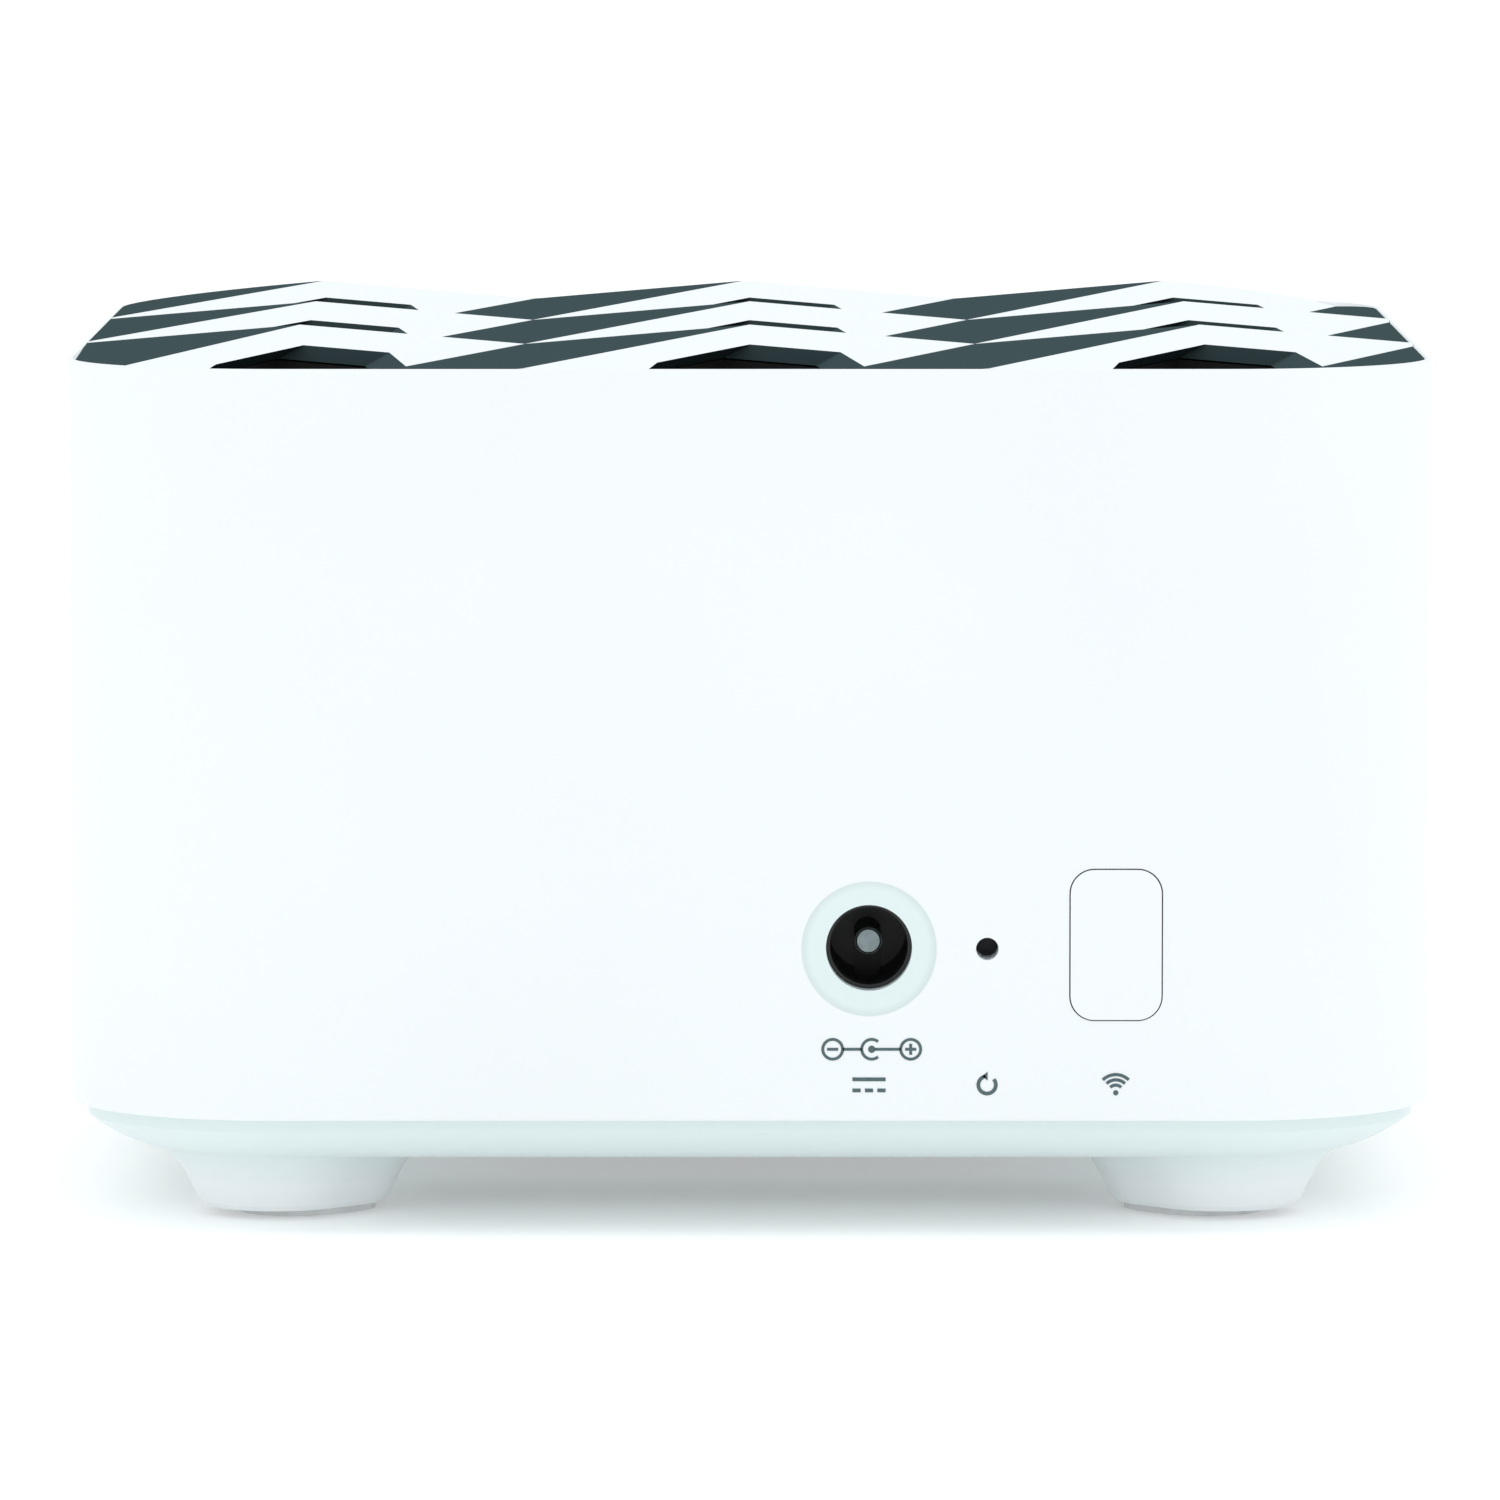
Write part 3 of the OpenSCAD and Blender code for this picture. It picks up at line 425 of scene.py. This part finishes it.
def cap_plastic():
    """Matt plastic for the cap, with painted shade: facets that lean to one side, and the vents' walls,
    are painted dark grey for the shade that falls on them.
    """
    s = settings("router_shell")
    c = settings("router_cap")
    material = shader("faceted_plastic", s.colour, c.roughness, Specular_IOR_Level=0.0)
    grain(material, s.grain_size, s.grain_height, 0.6)
    lean = add_node(material, "ShaderNodeNewGeometry")
    facing = add_node(material, "ShaderNodeSeparateXYZ")
    join(material, lean, "True Normal", facing, "Vector")
    upright = compare(material, "GREATER_THAN", facing, "Z", c.upright)
    # Painted shade: facets are picked by the way they face and painted dark grey.
    shaded_facet = both(material, compare(material, "LESS_THAN", facing, "X", c.facet_tilt), upright)
    # Painted shade: the vents' side walls are painted dark grey for the shade inside the vents.
    vent_wall_shade = both(material, compare(material, "LESS_THAN", facing, "Z", c.upright),
                     inside_cap(material, c))
    grey = add_node(material, "ShaderNodeMath", operation="MAXIMUM")
    join(material, shaded_facet, "Value", grey, 0)
    join(material, vent_wall_shade, "Value", grey, 1)
    tint = ramp(material, grey, "Value", [(0.4, s.colour), (0.6, c.facet_shade_colour)])
    tint.color_ramp.interpolation = "CONSTANT"
    join(material, tint, "Color", surface(material), "Base Color")
    return material


def inside_cap(material, c):
    """One away from the cap's rim and from the steps between its rows of facets."""
    place = add_node(material, "ShaderNodeTexCoord")
    axes = add_node(material, "ShaderNodeSeparateXYZ")
    join(material, place, "Object", axes, "Vector")
    aside = size_of(material, axes, "X")
    along = size_of(material, axes, "Y")
    within = both(material, compare(material, "LESS_THAN", aside, "Value", c.rim_reach),
                  compare(material, "LESS_THAN", along, "Value", c.rim_reach))
    from_step = add_node(material, "ShaderNodeMath", operation="SUBTRACT")
    from_step.inputs[1].default_value = c.step_place
    join(material, along, "Value", from_step, 0)
    clear_of_step = compare(material, "GREATER_THAN", size_of(material, from_step, "Value"),
                            "Value", c.step_clearance)
    return both(material, within, clear_of_step)


def base_plastic():
    """The shell's plastic with painted shade: a darker, cooler tint along the rolled rim, where the
    base faces down, and white again down the feet.
    """
    s = settings("router_shell")
    f = settings("router_foot")
    material = shell_plastic("base_plastic")
    place = add_node(material, "ShaderNodeTexCoord")
    axes = add_node(material, "ShaderNodeSeparateXYZ")
    join(material, place, "Object", axes, "Vector")
    share = add_node(material, "ShaderNodeMath", operation="DIVIDE")
    share.inputs[1].default_value = f.rim_height
    join(material, axes, "Z", share, 0)
    # Painted shade: white at the feet, growing to the full shade tint across the rolled rim.
    foot_share, rim_share = 0.3, 0.62
    tint = ramp(material, share, "Value", [(foot_share, s.colour), (rim_share, f.rim_shade_colour)])
    join(material, tint, "Color", surface(material), "Base Color")
    return material


def panel_plastic():
    """The shell's plastic with painted shade: cooler and a little deeper within the inlet's dish, and
    darker still at the dish's rim.
    """
    s = settings("router_shell")
    inlet = settings("router_inlet")
    material = shell_plastic("panel_plastic")
    centre = middle("jack_pin")
    place = add_node(material, "ShaderNodeTexCoord")
    shift = add_node(material, "ShaderNodeMapping")
    shift.inputs["Location"].default_value = (-centre.x, 0.0, -centre.z)
    shift.inputs["Scale"].default_value = (1.0, 0.0, 1.0)
    join(material, place, "Object", shift, "Vector")
    radius = add_node(material, "ShaderNodeVectorMath", operation="LENGTH")
    join(material, shift, "Vector", radius, 0)
    share = add_node(material, "ShaderNodeMath", operation="DIVIDE")
    share.inputs[1].default_value = 2 * inlet.dish_radius
    join(material, radius, "Value", share, 0)
    # Painted shade: tinted across the dish and darker in a ring at its rim.
    shade_start, dish_edge, blend, edge_shade = 0.44, 0.5, 0.004, 0.88
    edge = [channel * edge_shade for channel in inlet.dish_shade_colour]
    tint = ramp(material, share, "Value", [
        (shade_start, inlet.dish_shade_colour), (dish_edge - blend, edge),
        (dish_edge + blend, s.colour)])
    join(material, tint, "Color", surface(material), "Base Color")
    return material


def black_plastic():
    colour = (0.008, 0.008, 0.009)
    material = shader("black_plastic", colour, 0.7, Specular_IOR_Level=0.25)
    mottle(material, 0.004, colour, 0.25)
    grain(material, 0.0004, 0.00002, 0.8)
    return material


def rubber():
    s = settings("router_foot")
    material = shader("pad_rubber", s.rubber_colour, 0.75, Specular_IOR_Level=0.3)
    mottle(material, 0.0015, s.rubber_colour, 0.06)
    grain(material, 0.00025, 0.00002, 0.7)
    return material


def jack_plastic():
    s = settings("router_inlet")
    material = shader("jack_plastic", s.body_colour, 0.38)
    mottle(material, 0.002, s.body_colour, 0.2)
    grain(material, 0.0003, 0.000006, 0.5)
    return material


def nickel():
    s = settings("router_inlet")
    material = shader("nickel", s.pin_colour, 0.45, 1.0)
    mottle(material, 0.0008, s.pin_colour, 0.08)
    uneven_gloss(material, 0.0006, 0.38, 0.55)
    return material


def steel(name, colour, low, high, run):
    """Rolled or turned steel, with a fine grain along one direction."""
    material = shader(name, colour, (low + high) / 2, 1.0)
    mottle(material, 0.002, colour, 0.06, run)
    uneven_gloss(material, 0.0009, low, high, run)
    grain(material, 0.0003, 0.000003, 0.5, 2.0, run)
    return material


def aluminium():
    """Extruded aluminium, its die lines running along the fins."""
    run = (1.0, 0.04, 1.0)
    colour = (0.6, 0.61, 0.63)
    material = shader("extruded_aluminium", colour, 0.42, 1.0)
    mottle(material, 0.0012, colour, 0.08, run)
    uneven_gloss(material, 0.0008, 0.34, 0.52, run)
    grain(material, 0.0003, 0.000005, 0.7, 2.0, run)
    return material


def plain_moulding(name, colour, roughness, size=0.0006, height=0.00001, spread=0.12):
    """Small moulded parts: epoxy, switch bodies, ferrite and the like."""
    material = shader(name, colour, roughness)
    mottle(material, size * 4, colour, spread)
    grain(material, size, height, 0.7)
    return material


def solder_mask():
    """Green board: copper runs show as raised, paler lanes under the mask."""
    s = settings("router_board")
    material = shader("solder_mask", s.mask_colour, 0.32, IOR=1.52, Coat_Weight=0.25)
    lanes_per_metre, lane_width, lane_length, lane_pitch = 210.0, 0.022, 1.7, 0.28
    track_height = 0.03 * MM
    lanes = add_node(material, "ShaderNodeTexBrick", offset=0.37, squash=0.6, squash_frequency=3)
    lanes.inputs["Scale"].default_value = lanes_per_metre
    lanes.inputs["Mortar Size"].default_value = lane_width
    lanes.inputs["Mortar Smooth"].default_value = 0.1
    lanes.inputs["Brick Width"].default_value = lane_length
    lanes.inputs["Row Height"].default_value = lane_pitch
    join(material, body_coordinates(material), "Vector", lanes, "Vector")
    track = [min(1.0, c * 2.1 + 0.006) for c in s.mask_colour]
    tint = ramp(material, lanes, "Fac", [(0.2, s.mask_colour), (0.8, track)])
    join(material, tint, "Color", surface(material), "Base Color")
    bump = add_node(material, "ShaderNodeBump", Strength=0.6, Distance=track_height)
    join(material, lanes, "Fac", bump, "Height")
    join(material, bump, "Normal", surface(material), "Normal")
    return material


def copper():
    colour = (0.78, 0.36, 0.18)
    material = shader("copper_foil", colour, 0.33, 1.0)
    mottle(material, 0.003, colour, 0.12)
    uneven_gloss(material, 0.001, 0.26, 0.42)
    return material


def gold():
    colour = (0.83, 0.6, 0.25)
    material = shader("gold_plate", colour, 0.27, 1.0)
    mottle(material, 0.001, colour, 0.06)
    uneven_gloss(material, 0.0005, 0.2, 0.36)
    return material


def clear_resin(name, colour, roughness):
    material = shader(name, colour, roughness, IOR=1.49, Transmission_Weight=0.85)
    grain(material, 0.0006, 0.000004, 0.4)
    return material


def film():
    """Pale label film with a faint tooth."""
    colour = (0.72, 0.74, 0.75)
    material = shader("label_film", colour, 0.5)
    mottle(material, 0.006, colour, 0.02)
    grain(material, 0.0002, 0.000004, 0.5)
    return material


def ink():
    s = settings("router_marks")
    material = shader("printed_ink", s.ink_colour, 0.5)
    mottle(material, 0.0004, s.ink_colour, 0.1)
    grain(material, 0.00008, 0.000003, 0.5)
    return material


# ---- Operators: one for each group of like pieces, and one for the stage ----

class ROUTER_OT_shell(bpy.types.Operator):
    """Dress the sleeve, the rear panel, the base and the sync button in satin white plastic"""
    bl_idname = "router.shell"
    bl_label = "Shell"

    def execute(self, context):
        plastic = shell_plastic()
        for node in ("housing", "sync_button"):
            dress(node, plastic)
        # The panel's finish paints shade into the inlet's dish.
        dress("control_panel", panel_plastic())
        # The base's finish paints shade along its rolled rim.
        dress("base_tray", base_plastic())
        edge_radius = 0.18 * MM
        soften(NODES["sync_button"], edge_radius)
        return {"FINISHED"}


class ROUTER_OT_cap(bpy.types.Operator):
    """Dress the faceted cap, the black liner under it and the black chassis"""
    bl_idname = "router.cap"
    bl_label = "Faceted cap"

    def execute(self, context):
        # The cap's finish paints shade on its leaning facets and its vent walls.
        dress("top_grille", cap_plastic())
        black = black_plastic()
        # Painted shade: the liner is black so the vents read dark inside, where there is only shade.
        for node in ("vent_liner", "chassis"):
            dress(node, black)
        return {"FINISHED"}


class ROUTER_OT_feet(bpy.types.Operator):
    """Dress the rubber pads under the feet"""
    bl_idname = "router.feet"
    bl_label = "Rubber pads"

    def execute(self, context):
        dress("foot_pads", rubber())
        return {"FINISHED"}


class ROUTER_OT_inlet(bpy.types.Operator):
    """Dress the power inlet's body, pin and contacts"""
    bl_idname = "router.inlet"
    bl_label = "Power inlet"

    def execute(self, context):
        dress("jack_body", jack_plastic())
        metal = nickel()
        for node in ("jack_pin", "jack_contacts"):
            dress(node, metal)
        return {"FINISHED"}


class ROUTER_OT_switches(bpy.types.Operator):
    """Dress the two push switches, the status lamp and its window"""
    bl_idname = "router.switches"
    bl_label = "Switches and lamp"

    def execute(self, context):
        black = plain_moulding("switch_plastic", (0.03, 0.03, 0.033), 0.55)
        pale = plain_moulding("plunger_plastic", (0.6, 0.59, 0.55), 0.45)
        for name, plunger in (("sync", pale), ("reset", black)):
            dress(f"{name}_switch_body", black)
            dress(f"{name}_switch_plunger", plunger)
        dress("light_pipe", clear_resin("clear_acrylic", (0.93, 0.96, 0.97), 0.08))
        dress("status_led", clear_resin("led_resin", (0.9, 0.93, 0.78), 0.2))
        return {"FINISHED"}


class ROUTER_OT_marks(bpy.types.Operator):
    """Print the polarity mark and the plain icons under the rear controls"""
    bl_idname = "router.marks"
    bl_label = "Printed marks"

    def execute(self, context):
        s = settings("router_marks")
        front = rear_wall() - s.ink_depth
        back = rear_wall() + s.ink_depth
        material = ink()
        width = s.line_width
        bold = width * 1.3
        inlet = middle("jack_pin")
        reset = middle("reset_switch_plunger")
        sync = middle("sync_button")
        level = inlet.z - s.icon_drop

        def polarity(bm):
            z = inlet.z - s.polarity_drop
            centre = inlet.x + s.polarity_shift
            radius, reach, sign = 0.75 * MM, 2.94 * MM, 0.42 * MM
            for side in (-1, 1):
                x = centre + side * reach
                wall_ribbon(bm, circle_points(x, z, radius), width, front, back, True)
                wall_ribbon(bm, [(x - sign, z), (x + sign, z)], width, front, back)
            x = centre + reach
            for end in (-1, 1):
                near, far = end * width / 2, end * sign
                wall_ribbon(bm, [(x, z + near), (x, z + far)], width, front, back)
            wall_ribbon(bm, arc_points(centre, z, radius, 50, 310), width, front, back)
            wall_patch(bm, circle_points(centre, z, width * 1.25), front, back)
            wall_ribbon(bm, [(centre - reach + radius, z), (centre - radius, z)],
                        width, front, back)
            wall_ribbon(bm, [(centre + width, z), (x - radius, z)], width, front, back)

        def direct_current(bm):
            long_half, gap, dash = 1.25 * MM, 0.42 * MM, 0.62 * MM
            wall_ribbon(bm, [(inlet.x - long_half, level + gap),
                             (inlet.x + long_half, level + gap)], bold, front, back)
            for i in (-1, 0, 1):
                x = inlet.x + i * (long_half - dash / 2)
                wall_ribbon(bm, [(x - dash / 2, level - gap), (x + dash / 2, level - gap)],
                            bold, front, back)

        def turn_back(bm):
            radius, head = 0.66 * MM, 0.42 * MM
            wall_ribbon(bm, arc_points(reset.x, level, radius, 100, 400), bold, front, back)
            tip = (reset.x - head * 0.9, level + radius)
            half_head = head * 0.8
            wall_patch(bm, [(tip[0] + head, tip[1] + half_head),
                            (tip[0] + head, tip[1] - half_head), tip], front, back)

        def radio_waves(bm):
            base, dot = level - 0.6 * MM, 0.2 * MM
            first, spacing, waves = 0.58 * MM, 0.4 * MM, 3
            wall_patch(bm, circle_points(sync.x, base, dot), front, back)
            for i in range(waves):
                wave = arc_points(sync.x, base, first + i * spacing, 45, 135)
                wall_ribbon(bm, wave, width * 1.1, front, back)

        new_piece("polarity_mark", polarity, material)
        new_piece("power_icon", direct_current, material)
        new_piece("reset_icon", turn_back, material)
        new_piece("sync_icon", radio_waves, material)
        return {"FINISHED"}


class ROUTER_OT_board(bpy.types.Operator):
    """Dress the main board and its chips, and fit the small surface parts"""
    bl_idname = "router.board"
    bl_label = "Main board"

    def execute(self, context):
        dress("main_board", solder_mask())
        epoxy = plain_moulding("chip_epoxy", (0.018, 0.018, 0.02), 0.5)
        for node in ("processor", "memory_chips", "flash_chip"):
            dress(node, epoxy)
        dress("inductor", plain_moulding("ferrite", (0.05, 0.05, 0.052), 0.7, 0.0008, 0.00004))
        dress("thermal_pad", plain_moulding("gap_pad", (0.2, 0.33, 0.5), 0.8))
        dress("capacitors", steel("capacitor_sleeve", (0.62, 0.63, 0.65), 0.3, 0.42,
                                  (1.0, 1.0, 0.1)))
        self.small_parts()
        return {"FINISHED"}

    def small_parts(self):
        """Chip resistors in two rows on the board, each with its two end caps."""
        s = settings("router_board")
        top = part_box("main_board")[1].z
        length, width, height, cap = 1.6 * MM, 0.8 * MM, 0.45 * MM, 0.3 * MM
        cap_proud = 0.02 * MM
        spacing, row_place = 4.2 * MM, 24.5 * MM
        middle_index = (s.part_count - 1) / 2
        spots = [
            ((i - middle_index) * spacing, y)
            for y in (-row_place, row_place)
            for i in range(s.part_count)
        ]

        def bodies(bm):
            for x, y in spots:
                add_box(bm, (x - length / 2 + cap, y - width / 2, top),
                        (x + length / 2 - cap, y + width / 2, top + height))

        def caps(bm):
            for x, y in spots:
                for side in (-1, 1):
                    inner = x + side * (length / 2 - cap)
                    outer = x + side * length / 2
                    add_box(bm, (min(inner, outer), y - width / 2, top),
                            (max(inner, outer), y + width / 2, top + height + cap_proud))

        new_piece("chip_resistors", bodies,
                  plain_moulding("resistor_glaze", (0.03, 0.03, 0.032), 0.35))
        new_piece("chip_resistor_ends", caps,
                  steel("tinned_ends", (0.7, 0.7, 0.69), 0.3, 0.45, (1, 1, 1)))


class ROUTER_OT_cooling(bpy.types.Operator):
    """Dress the heat sink, its push pins and the radio shields"""
    bl_idname = "router.cooling"
    bl_label = "Heat sink and shields"

    def execute(self, context):
        dress("heat_sink", aluminium())
        dress("heat_sink_pins", plain_moulding("push_pin_nylon", (0.05, 0.05, 0.055), 0.5))
        tinned = steel("tinned_steel", (0.62, 0.62, 0.61), 0.28, 0.4, (0.1, 1.0, 1.0))
        for node in ("radio_shield_right", "radio_shield_left"):
            dress(node, tinned)
        return {"FINISHED"}


class ROUTER_OT_antennas(bpy.types.Operator):
    """Dress the antennas, their copper, leads and plugs"""
    bl_idname = "router.antennas"
    bl_label = "Antennas"

    def execute(self, context):
        laminate = plain_moulding("antenna_laminate", (0.012, 0.03, 0.024), 0.4, 0.0008, 0.000006)
        for side in ("right", "front", "left", "rear"):
            dress(f"antenna_{side}", laminate)
        dress("antenna_foils", copper())
        dress("antenna_leads", plain_moulding("lead_jacket", (0.02, 0.02, 0.022), 0.45))
        plate = gold()
        for node in ("coax_plugs", "coax_sockets"):
            dress(node, plate)
        return {"FINISHED"}


class ROUTER_OT_fasteners(bpy.types.Operator):
    """Dress the screws and the blank label"""
    bl_idname = "router.fasteners"
    bl_label = "Screws and label"

    def execute(self, context):
        zinc = steel("zinc_plate", (0.55, 0.56, 0.58), 0.28, 0.42, (1.0, 1.0, 0.15))
        for node in ("base_screws", "board_screws", "cap_screws"):
            dress(node, zinc)
        dress("rating_label", film())
        return {"FINISHED"}


class ROUTER_OT_stage(bpy.types.Operator):
    """Lay the pale floor, hang the soft lights and set the camera"""
    bl_idname = "router.stage"
    bl_label = "Stage"

    def execute(self, context):
        self.floor()
        self.lights()
        self.camera()
        return {"FINISHED"}

    def floor(self):
        s = settings("router_stage")
        reach = 12.0
        material = shader("floor_paper", s.floor_colour, 0.85, Specular_IOR_Level=0.1,
                          Emission_Color=(1.0, 1.0, 1.0, 1.0), Emission_Strength=0.2)
        mottle(material, 0.6, s.floor_colour, 0.004)
        mesh = bpy.data.meshes.new("floor")
        bm = bmesh.new()
        bmesh.ops.create_grid(bm, x_segments=2, y_segments=2, size=reach)
        bm.to_mesh(mesh)
        bm.free()
        mesh.materials.append(material)
        floor = bpy.data.objects.new("floor", mesh)
        bpy.context.scene.collection.objects.link(floor)

    def lights(self):
        scene = bpy.context.scene
        scene.view_settings.view_transform = "Standard"
        world = bpy.data.worlds.new("soft_room")
        scene.world = world
        world.use_nodes = True
        back = world.node_tree.nodes["Background"]
        back.inputs["Color"].default_value = (0.97, 0.99, 1.0, 1.0)
        back.inputs["Strength"].default_value = 0.98
        for name, place, size, power in (
            ("key_left", (-0.8, -0.3, 1.2), 0.7, 1.5),
            ("key_right", (0.8, -0.3, 1.2), 0.7, 1.5),
            ("overhead", (0.0, 0.5, 1.4), 1.0, 0.9),
        ):
            lamp = bpy.data.lights.new(name, "AREA")
            lamp.shape = "SQUARE"
            lamp.size = size
            lamp.energy = power
            holder = bpy.data.objects.new(name, lamp)
            scene.collection.objects.link(holder)
            holder.location = place
            aim = Vector((0.0, 0.0, 0.03)) - Vector(place)
            holder.rotation_mode = "QUATERNION"
            holder.rotation_quaternion = aim.to_track_quat("-Z", "Y")

    def camera(self):
        s = settings("router_stage")
        lens = bpy.data.cameras.new("camera")
        lens.lens = s.focal
        lens.sensor_width = 36.0
        lens.clip_start = 0.05
        lens.clip_end = 60.0
        holder = bpy.data.objects.new("camera", lens)
        bpy.context.scene.collection.objects.link(holder)
        sideways = 0.03 * MM
        holder.location = (sideways, -s.distance, s.height)
        holder.rotation_euler = (math.radians(90) - s.pitch, 0.0, 0.0)
        bpy.context.scene.camera = holder


STEPS = (
    ROUTER_OT_stage,
    ROUTER_OT_shell,
    ROUTER_OT_cap,
    ROUTER_OT_feet,
    ROUTER_OT_inlet,
    ROUTER_OT_switches,
    ROUTER_OT_marks,
    ROUTER_OT_board,
    ROUTER_OT_cooling,
    ROUTER_OT_antennas,
    ROUTER_OT_fasteners,
)

GROUPS = {
    "router_shell": ShellSettings,
    "router_cap": CapSettings,
    "router_inlet": InletSettings,
    "router_marks": MarkSettings,
    "router_foot": FootSettings,
    "router_board": BoardSettings,
    "router_stage": StageSettings,
}


class ROUTER_PT_panel(bpy.types.Panel):
    """Lists the settings and the steps in the sidebar"""
    bl_idname = "ROUTER_PT_panel"
    bl_label = "Mesh Router"
    bl_space_type = "VIEW_3D"
    bl_region_type = "UI"
    bl_category = "Router"

    def draw(self, context):
        for group, kind in GROUPS.items():
            box = self.layout.box()
            for name in kind.__annotations__:
                box.prop(getattr(context.scene, group), name)
        for step in STEPS:
            self.layout.operator(step.bl_idname)


def register():
    for kind in (*GROUPS.values(), *STEPS, ROUTER_PT_panel):
        bpy.utils.register_class(kind)
    for group, kind in GROUPS.items():
        setattr(bpy.types.Scene, group, PointerProperty(type=kind))


def unregister():
    for group in GROUPS:
        delattr(bpy.types.Scene, group)
    for kind in reversed((*GROUPS.values(), *STEPS, ROUTER_PT_panel)):
        bpy.utils.unregister_class(kind)


def main():
    """Registers the add-on and runs its steps in order."""
    register()
    bpy.ops.router.stage()
    bpy.ops.router.shell()
    bpy.ops.router.cap()
    bpy.ops.router.feet()
    bpy.ops.router.inlet()
    bpy.ops.router.switches()
    bpy.ops.router.marks()
    bpy.ops.router.board()
    bpy.ops.router.cooling()
    bpy.ops.router.antennas()
    bpy.ops.router.fasteners()


if __name__ == "__main__":
    main()
